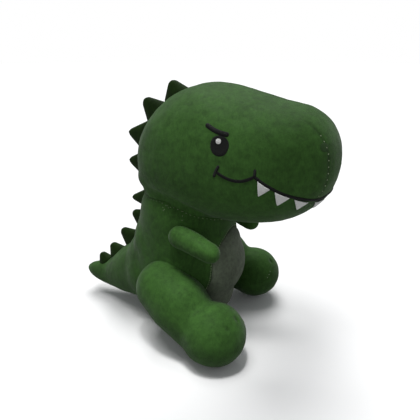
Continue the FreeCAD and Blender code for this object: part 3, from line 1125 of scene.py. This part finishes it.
@dataclass
class Head:
    """The head: skin, seams, spikes and muzzle stitching."""

    wardrobe: Wardrobe
    room: float = 49.2 * MM  # radius of the hollow that the neck turns in
    collar_radius: float = 50.8
    collar_level: Vector = field(default_factory=lambda: at(0, 5, 143.5))
    middle: Vector = field(default_factory=lambda: at(0, -45, 185))
    muzzle_half: float = 26.0
    spikes: tuple = (
        Spike(1, 12.0, 238.0, 66.0, 30.0, 14.0, blunt=3.2),
        Spike(2, 36.0, 219.5, 43.0, 33.0, 21.0, blunt=4.0),
        Spike(3, 52.0, 194.0, 10.0, 35.0, 22.0),
        Spike(4, 56.0, 165.8, 7.0, 32.0, 21.0),
    )

    def build(self) -> Surface:
        """Build the head's pieces.

        Returns:
            Its surface, for the face.
        """
        skin = Skin(
            "head_skin",
            "head",
            ["head_stuffing"],
            self.collar() + [Wad(at(0, 25, 160), (38, 22, 20))],
            hold=lambda point: 1.0 - eased((point - NECK).length / MM, 51.5, 60.0),
            hollow=(NECK, self.room),
            shift=self.snout_stretch,
        )
        piece = skin.build(self.seams)
        nodes = ("head_panel_left", "head_panel_right", "muzzle_panel", "head_stuffing")
        settle(piece, skin.body, Slot.PILE, self.wardrobe.pile, *nodes)
        surface = Surface(piece)
        for side, seam in zip(Side, skin.seams):
            row = Stitching(surface, pitch=5.2 * MM, length=1.3 * MM, radius=0.45 * MM)
            sewn = row.sew(f"muzzle_stitches_{side.label}", [seam.path[6:-4]])
            settle(sewn, "head", Slot.PALE, self.wardrobe.seam)
        for spike in self.spikes:
            spike.add(surface, "head", self.wardrobe)
        return surface

    @staticmethod
    def snout_stretch(point: Vector) -> Vector:
        """Return how far the filling carries a point of the snout forward and up."""
        ahead = eased(-point.y / MM, 55, 115)
        top = eased(point.z / MM, 185, 215)
        return Vector((0, -1.6 * ahead, 1.4 * ahead * top)) * MM

    def collar(self) -> list[Wad]:
        """Return the rim that reaches down round the neck: level behind it, sloping to the throat."""
        round_neck = (self.collar_radius,) * 3
        slope = Vector((0, -0.34, 0.94))
        return [Wad(NECK, round_neck, cut=(self.collar_level, heading)) for heading in (Z_AXIS, slope)]

    def seams(self, surface: Surface) -> list[Seam]:
        """Return the muzzle's two seams, the seam over the crown and the pull round each eye."""
        found = []
        for side in Side:
            inside = side.point(self.muzzle_half, -96, 186)
            path = surface.sweep(inside, -Y_AXIS, Z_AXIS, (62, -62), 40)
            found.append(Seam(path, 0.15 * MM, 1.5 * MM, tight=False))
        crown = surface.sweep(self.middle, Y_AXIS, Z_AXIS, (-30, 146), 70)
        found.append(Seam(crown, 0.3 * MM, 1.6 * MM, tight=False))
        # Each eye's wide pull is a shallow dimple, which the pile's finish darkens as painted shade round
        # the eye.
        for side in Side:
            eye = surface.seen(side.point(0, *EYE), -side.heading(1, 0, 0))
            found.append(Seam([eye, eye + Y_AXIS * MM], 1.0 * MM, 8.0 * MM, tight=False))
        return found


@dataclass
class Face:
    """The embroidered eyes, brows, mouth and nostrils, and the felt teeth."""

    surface: Surface
    wardrobe: Wardrobe
    eye_half: tuple = (8.0, 8.8)
    glint: tuple = (-54.2, 208.2)
    glint_radius: float = 2.3
    brow: tuple = ((-41.5, 220.7), (-51.5, 215.6), (-62.0, 213.4))
    brow_width: float = 4.0
    smile_width: float = 2.6
    lip_width: float = 2.8
    cheek: tuple = ((-56.0, 189.3), (-53.5, 184.3), (-51.5, 179.0))
    smile: tuple = ((-53.8, 183.6), (-70.0, 177.4), (-85.0, 182.3))
    corner: tuple = ((-85.0, 182.3), (-85.4, 185.4), (-85.2, 188.4))
    lip: tuple = ((-85.0, 182.3), (-104.0, 169.9), (-128.5, 160.6))
    lip_front: tuple = ((22.0, 160.0), (12.0, 161.4), (0.0, 162.0))
    side_teeth: tuple = (
        ((-87.6, 178.8), (-97.2, 172.2), (-88.2, 166.2)),
        ((-101.0, 170.2), (-112.0, 165.1), (-102.6, 158.4)),
        ((-115.4, 163.2), (-125.0, 159.4), (-116.4, 153.0)),
    )
    front_tooth: tuple = ((24.5, 158.0), (12.5, 158.2), (18.0, 151.0))
    nostril: tuple = (27.5, 205.0)

    def on_side(self, side: Side, spot: tuple) -> Vector:
        """Return the place on the skin behind a spot (y, z) of the side view."""
        return self.surface.seen(side.point(0, *spot), -side.heading(1, 0, 0))

    def on_front(self, side: Side, spot: tuple) -> Vector:
        """Return the place on the skin behind a spot (x, z) of the front view."""
        return self.surface.seen(side.point(spot[0], 0, spot[1]), Y_AXIS)

    def line(self, side: Side, spots: Sequence[tuple]) -> list[Vector]:
        """Return the path on the skin along a bow through three spots of the side view."""
        flat = bowed(*[at(0, *spot) for spot in spots], count=30)
        return [self.on_side(side, (point.y / MM, point.z / MM)) for point in flat]

    def build(self) -> None:
        """Build every piece of the face."""
        laid = Laid(self.surface)
        for side in Side:
            self.build_eye(laid, side)
            self.build_mouth(laid, side)
            self.build_teeth(laid, side)
            self.build_nostril(laid, side)

    def build_eye(self, laid: Laid, side: Side) -> None:
        """Build one eye, its glint and its brow."""
        half_y = Y_AXIS * self.eye_half[0] * MM
        half_z = Z_AXIS * self.eye_half[1] * MM
        middle = self.on_side(side, EYE)
        eye = laid.oval(f"stitched_eye_{side.label}", middle, half_y, half_z, 0.9 * MM, 24)
        settle(eye, "head", Slot.BLACK, self.wardrobe.black, f"eye_{side.label}")
        reach = self.glint_radius * MM
        centre = self.on_side(side, self.glint)
        outward = side.heading(1, 0, 0)
        name = f"stitched_glint_{side.label}"
        spot = laid.oval(name, centre, Y_AXIS * reach, Z_AXIS * reach, 0.7 * MM, 12)
        spot.data.transform(Matrix.Translation(outward * 0.75 * MM))
        settle(spot, "head", Slot.PALE, self.wardrobe.glint, f"eye_glint_{side.label}")
        path = self.line(side, self.brow)
        brow = laid.ribbon(f"stitched_brow_{side.label}", path, self.brow_width * MM, 0.9 * MM)
        settle(brow, "head", Slot.BLACK, self.wardrobe.black, f"brow_{side.label}")

    def build_mouth(self, laid: Laid, side: Side) -> None:
        """Build one half of the mouth: a cheek tick, the smile, the corner tick and the lip."""
        for name, spots in (("cheek", self.cheek), ("smile", self.smile), ("corner", self.corner)):
            line = self.line(side, spots)
            part = laid.ribbon(f"stitched_{name}_{side.label}", line, self.smile_width * MM, 0.7 * MM)
            settle(part, "head", Slot.BLACK, self.wardrobe.black)
        path = self.line(side, self.lip)
        path += [self.on_front(side, spot) for spot in self.lip_front]
        lip = laid.ribbon(f"stitched_lip_{side.label}", path, self.lip_width * MM, 0.7 * MM)
        settle(lip, "head", Slot.BLACK, self.wardrobe.black, f"mouth_line_{side.label}")

    def build_teeth(self, laid: Laid, side: Side) -> None:
        """Build the felt teeth of one side, from the corner of the mouth to the front."""
        corners = [[self.on_side(side, spot) for spot in tooth] for tooth in self.side_teeth]
        corners.append([self.on_front(side, spot) for spot in self.front_tooth])
        for number, places in enumerate(corners, 1):
            tooth = laid.tooth(f"felt_tooth_{number}_{side.label}", *places, 1.1 * MM)
            settle(tooth, "head", Slot.FELT, self.wardrobe.felt, f"tooth_{number}_{side.label}")

    def build_nostril(self, laid: Laid, side: Side) -> None:
        """Build one dark nostril."""
        centre = self.on_front(side, self.nostril)
        _, normal = self.surface.snap(centre)
        across = normal.cross(Z_AXIS).normalized()
        up = across.cross(normal).normalized()
        name = f"stitched_nostril_{side.label}"
        made = laid.oval(name, centre, across * 4.6 * MM, up * 4.0 * MM, 0.35 * MM, 12)
        settle(made, "head", Slot.BLACK, self.wardrobe.nostril, f"nostril_{side.label}")


# ---------------------------------------------------------------------------------------------
# Body


BELLY_STEPS = 96
NECK_STEPS = 120
NECK_HALVINGS = 14
NECK_DROP = 2.6  # degrees from the head's rim down to the stitches


@dataclass
class Torso:
    """The body and tail: skin, belly patch, seams, spikes, and the pouch inside."""

    wardrobe: Wardrobe
    head: Surface
    neck_radius: float = 50.0 * MM
    neck_fill: float = 48.4
    middle: Vector = field(default_factory=lambda: at(0, 3, 60))
    belly_centre: float = 62.0
    belly_half: tuple = (35.8, 48.0)
    # Between these two places the skin goes over from following the body to following the tail.
    tail_start: Vector = field(default_factory=lambda: at(0, 62, 42))
    tail_free: Vector = field(default_factory=lambda: at(0, 95, 42))
    spikes: tuple = (
        Spike(5, 57.0, 127.0, -4.0, 22.0, 19.5),
        Spike(6, 62.5, 106.0, 27.0, 26.0, 15.0, blunt=3.2),
        Spike(7, 77.0, 79.5, 34.0, 30.0, 18.5, blunt=4.0),
    )
    tail_spikes: tuple = (
        Spike(8, 95.5, 58.0, 52.0, 26.0, 12.0, blunt=3.6),
        Spike(9, 114.5, 45.5, 57.0, 22.0, 10.5, blunt=3.2),
    )

    def build(self) -> Surface:
        """Build the pieces of the body and the tail.

        Returns:
            The surface of their skin.
        """
        skin = Skin(
            "body_and_tail_skin",
            "body",
            [],
            self.wads(),
            smoothing=14,
            hold=lambda point: eased(point.z / MM, 104.0, 128.0),
            seat_height=0.0,
        )
        piece = skin.build(self.seams)
        nodes = ("body_panel_left", "body_panel_right", "seat_panel", "body_stuffing")
        tail_nodes = ("tail_panel_left", "tail_panel_right", "tail_stuffing")
        dress(piece, Slot.PILE, self.wardrobe.pile, *nodes, *tail_nodes)
        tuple(self.tail_start)
        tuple(self.tail_free)
        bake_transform(piece)
        surface = Surface(piece)
        self.build_belly(surface)
        self.build_stitches(surface)
        for spike in self.spikes:
            spike.add(surface, "body", self.wardrobe)
        for spike in self.tail_spikes:
            spike.add(surface, "tail", self.wardrobe)
        for node, material in (
            ("pellet_pouch", self.wardrobe.pouch),
            ("pellets", self.wardrobe.pellets),
            ("neck_stuffing", self.wardrobe.stuffing),
        ):
            paint(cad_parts[node], material)
        return surface

    def wads(self) -> list[Wad]:
        """Return the body's seat, belly, chest and neck, the small of the back and the tail."""
        trunk = [
            Wad(at(0, 5, 37), (47, 50, 37)),
            Wad(at(0, 0.5, 70), (50.5, 57.0, 45)),
            Wad(at(0, 1.5, 94), (48, 52.5, 34)),
            Wad(NECK, (self.neck_fill,) * 3),
        ]
        small_of_back = [
            Wad(at(0, 31, 92), (40, 26, 30)),
            Wad(at(0, 42, 68), (36, 26, 28)),
            Wad(at(0, 38, 52), (43, 32, 36)),
        ]
        tail = sausage(at(0, 54, 46), 33.0, at(0, 75, 37), 25.5, 9)
        tail += sausage(at(0, 75, 37), 25.5, at(0, 99, 27.5), 15.2, 9)
        tail += sausage(at(0, 99, 27.5), 15.2, at(0, 122, 26), 10.6, 5)
        tail += sausage(at(0, 122, 26), 10.6, at(0, 134, 26.3), 5.8, 5)
        return trunk + small_of_back + tail

    def belly_edge(self, surface: Surface, grow: float = 0.0) -> list[Vector]:
        """Return the outline of the belly patch on the skin, anticlockwise from its left side."""
        places = []
        for angle in full_turn(BELLY_STEPS):
            x = (self.belly_half[0] + grow) * math.cos(angle)
            z = self.belly_centre + (self.belly_half[1] + grow) * math.sin(angle)
            places.append(surface.seen(at(x, 0, z), Y_AXIS))
        return places

    def seams(self, surface: Surface) -> list[Seam]:
        """Return the belly's edge and the back seam."""
        back = surface.sweep(self.middle, -Z_AXIS, Y_AXIS, (100, 150), 50)
        belly = Seam(self.belly_edge(surface), 0.6 * MM, 1.8 * MM)
        return [belly, Seam(back, 0.3 * MM, 1.6 * MM, tight=False)]

    def build_belly(self, surface: Surface) -> None:
        """Build the grey belly patch."""

        def place(u: float, v: float) -> Vector:
            """Return the point of the patch for a place in the square."""
            x, y = disc(u, v)
            target = at(x * self.belly_half[0], 0, self.belly_centre + y * self.belly_half[1])
            spot = surface.seen(target, Y_AXIS)
            _, up = surface.snap(spot)
            edge = min(1.0, math.hypot(x, y))
            return spot + up * (1.1 * MM * dome(edge) ** 0.35 - 0.15 * MM)

        made = patch("belly_patch", 64, 72, place, 0.6 * MM)
        made.data.attributes.new(SEAM_MAP, "FLOAT", "POINT")
        settle(made, "body", Slot.BELLY, self.wardrobe.belly, "belly_panel")

    def build_stitches(self, surface: Surface) -> None:
        """Sew the belly's edge and the neck."""
        edge = self.belly_edge(surface, 1.0)
        row = Stitching(surface, pitch=2.4 * MM, length=2.1 * MM, radius=0.36 * MM, style=Stitch.ZIGZAG)
        settle(row.sew("belly_stitches", [edge]), "body", Slot.PALE, self.wardrobe.seam)
        neck = Stitching(surface, pitch=4.2 * MM, length=1.1 * MM, radius=0.3 * MM)
        paths = [self.neck_line(surface)] + [self.side_line(surface, side) for side in Side]
        settle(neck.sew("neck_stitches", paths), "body", Slot.PALE, self.wardrobe.seam)

    def side_line(self, surface: Surface, side: Side) -> list[Vector]:
        """Return the side seam's short line from the neck down to the arm."""
        heading = side.heading(1, 0, 0)
        return [surface.out(at(0, -14, height), heading) for height in range(139, 125, -2)]

    def neck_line(self, surface: Surface) -> list[Vector]:
        """Return the line just below the head, round the neck."""
        places = []
        for around in full_turn(NECK_STEPS):
            low = -30.0
            high = 60.0
            for _ in range(NECK_HALVINGS):
                middle = (low + high) / 2
                place = self.neck_place(around, middle)
                if self.head.holds(place):
                    high = middle
                else:
                    low = middle
            places.append(surface.snap(self.neck_place(around, low - NECK_DROP))[0])
        return places

    def neck_place(self, around: float, rise: float) -> Vector:
        """Return the point of the neck's ball at an angle round Z and a rise in degrees."""
        level = math.radians(rise)
        flat = math.cos(level)
        heading = Vector((math.cos(around) * flat, math.sin(around) * flat, math.sin(level)))
        return NECK + heading * self.neck_radius


# ---------------------------------------------------------------------------------------------
# Limbs


@dataclass
class Limb:
    """One arm or leg: a stuffed skin with the marks of its needlework."""

    wardrobe: Wardrobe
    kind: str
    side: Side
    wads: list[Wad]
    voxel: float
    fill: float
    pulls: list[Vector] = field(default_factory=list)
    dots: list[tuple] = field(default_factory=list)
    middle: Vector = field(default_factory=Vector)
    cap: float = 2.2 * MM

    def build(self) -> Surface:
        """Build the limb.

        Returns:
            Its surface.
        """
        label = self.side.label
        names = f"{self.kind}_skin_{label}", f"{self.kind}_{label}"
        skin = Skin(*names, [], self.wads, voxel=self.voxel, cap=self.cap)
        piece = skin.build(self.seams)
        nodes = [f"{self.kind}_{part}_{label}" for part in ("outer_panel", "inner_panel", "stuffing")]
        settle(piece, skin.body, Slot.PILE, self.wardrobe.pile, *nodes)
        surface = Surface(piece)
        if self.dots:
            path = [surface.out(self.middle, self.side.heading(*heading)) for heading in self.dots]
            row = Stitching(surface, pitch=3.6 * MM, length=1.2 * MM, radius=0.36 * MM)
            sewn = row.sew(f"{self.kind}_stitches_{label}", [path])
            settle(sewn, skin.body, Slot.PALE, self.wardrobe.seam)
        return surface

    def seams(self, surface: Surface) -> list[Seam]:
        """Return the short pulls of thread that dent the limb."""
        found = []
        for heading in self.pulls:
            place = surface.out(self.middle, heading)
            found.append(Seam([place, place + Z_AXIS * 2 * MM], 1.3 * MM, 2.4 * MM, tight=False))
        return found


def make_leg(wardrobe: Wardrobe, side: Side) -> Limb:
    """Return the leg of one side: a tapered thigh with a round foot."""
    back = 3.5 if side is Side.LEFT else 0.0
    hip = side.point(51, 4, 58.5)
    thigh = side.point(56.6, -15, 48.8)
    ankle = side.point(61, -36 + back, 31.5)
    foot = side.point(63.5, -54 + back, 29.6 + back / 5)
    wads = sausage(hip, 25.8, thigh, 27.3, 5) + sausage(thigh, 27.3, ankle, 22.8, 6)
    wads.append(Wad(foot, (28.6 - back / 3, 30 - back / 2, 28.2 - back / 3)))
    pulls = [side.heading(-0.1, -0.74, 0.66), side.heading(0.42, -0.66, 0.63)]
    dots = [(-0.39, -0.76, 0.42), (-0.47, -0.78, 0.33), (-0.56, -0.76, 0.24), (-0.64, -0.72, 0.16)]
    return Limb(wardrobe, "leg", side, wads, 2.6 * MM, 0.85, pulls, dots, foot)


def make_arm(wardrobe: Wardrobe, side: Side) -> Limb:
    """Return the arm of one side. The left one hangs a little lower."""
    drop = 11.0 if side is Side.LEFT else 0.0
    shoulder = side.point(49, -14, 114.5)
    elbow = side.point(52.5, -29, 112.5 - drop / 2)
    hand = side.point(55, -47.5, 107 - drop)
    wads = sausage(shoulder, 9.7, elbow, 8.9, 6) + sausage(elbow, 8.9, hand, 8.2, 8)
    return Limb(wardrobe, "arm", side, wads, 2.0 * MM, 0.8)


# ---------------------------------------------------------------------------------------------
# Studio


def hang(name: str, data: bpy.types.ID, place: Vector, heading: Vector) -> bpy.types.Object:
    """Return a new lamp or camera at a place, looking along a direction."""
    made = bpy.data.objects.new(name, data)
    made.location = place
    made.rotation_euler = heading.to_track_quat("-Z", "Y").to_euler()
    bpy.context.scene.collection.objects.link(made)
    return made


@dataclass(frozen=True)
class Lamp:
    """One wide lamp."""

    name: str
    power: float
    spread: float  # degrees
    heading: Vector

    def build(self) -> None:
        """Add the lamp."""
        data = bpy.data.lights.new(self.name, "SUN")
        data.energy = self.power
        data.angle = math.radians(self.spread)
        hang(self.name, data, Vector(), self.heading)


@dataclass
class Studio:
    """The floor, the soft lights and the camera."""

    camera_place: Vector = field(default_factory=lambda: Vector((-0.3761, -0.1900, 0.2833)))
    camera_heading: Vector = field(default_factory=lambda: Vector((0.8529, 0.3797, -0.3584)))
    ambient: float = 0.3
    lights: tuple[Lamp, ...] = (
        Lamp("overhead", 1.1, 24.0, Vector((0.16, -0.14, -1.0))),
        Lamp("behind", 2.1, 34.0, Vector((-0.42, -0.19, -1.0))),
    )
    side_power: float = 7.5
    side_cone: float = 18.0  # degrees
    side_blend: float = 0.8
    side_radius: float = 50 * MM
    side_place: Vector = field(default_factory=lambda: at(-150, -60, 520))
    side_aim: Vector = field(default_factory=lambda: at(-68, -38, 65))
    lens: float = 37.8
    sensor: float = 36.0
    floor_radius: float = 6.0

    def build(self) -> None:
        """Build the whole studio."""
        self.build_floor()
        self.build_world()
        for lamp in self.lights:
            lamp.build()
        self.build_side_lamp()
        self.build_camera()

    def build_floor(self) -> None:
        """Build the pale floor."""
        bm = bmesh.new()
        bmesh.ops.create_circle(bm, cap_ends=True, segments=96, radius=self.floor_radius)
        floor = make_object("floor", bm)
        paint(floor, FloorFinish("pale floor", colour(0.93, 0.93, 0.93)).material())

    def build_world(self) -> None:
        """Build the soft light from all round, behind a white backdrop."""
        world = bpy.data.worlds.new("studio")
        world.use_nodes = True
        tree = world.node_tree
        light = tree.nodes["Background"]
        light.inputs["Color"].default_value = (0.95, 0.97, 1.0, 1.0)
        light.inputs["Strength"].default_value = self.ambient
        backdrop = tree.nodes.new("ShaderNodeBackground")
        backdrop.inputs["Color"].default_value = (1.0, 1.0, 1.0, 1.0)
        rays = tree.nodes.new("ShaderNodeLightPath")
        mix = tree.nodes.new("ShaderNodeMixShader")
        tree.links.new(rays.outputs["Is Camera Ray"], mix.inputs["Fac"])
        tree.links.new(light.outputs[0], mix.inputs[1])
        tree.links.new(backdrop.outputs[0], mix.inputs[2])
        tree.links.new(mix.outputs[0], tree.nodes["World Output"].inputs["Surface"])
        bpy.context.scene.world = world

    def build_side_lamp(self) -> None:
        """Add the soft lamp beside the head that lights the near arm and leg from above."""
        data = bpy.data.lights.new("side", "SPOT")
        data.energy = self.side_power
        data.spot_size = math.radians(self.side_cone)
        data.spot_blend = self.side_blend
        data.shadow_soft_size = self.side_radius
        hang("side", data, self.side_place, self.side_aim - self.side_place)

    def build_camera(self) -> None:
        """Add the camera."""
        data = bpy.data.cameras.new("camera")
        data.lens = self.lens
        data.sensor_width = self.sensor
        data.clip_start = 0.01
        bpy.context.scene.camera = hang("camera", data, self.camera_place, self.camera_heading)
        bpy.context.scene.view_settings.view_transform = "Standard"


def main() -> None:
    """Build the toy and its studio."""
    logging.basicConfig(level=logging.INFO, format="%(message)s")
    wardrobe = Wardrobe()
    Studio().build()
    head = Head(wardrobe).build()
    Face(head, wardrobe).build()
    Torso(wardrobe, head).build()
    for side in Side:
        make_leg(wardrobe, side).build()
        make_arm(wardrobe, side).build()


if __name__ == "__main__":
    main()
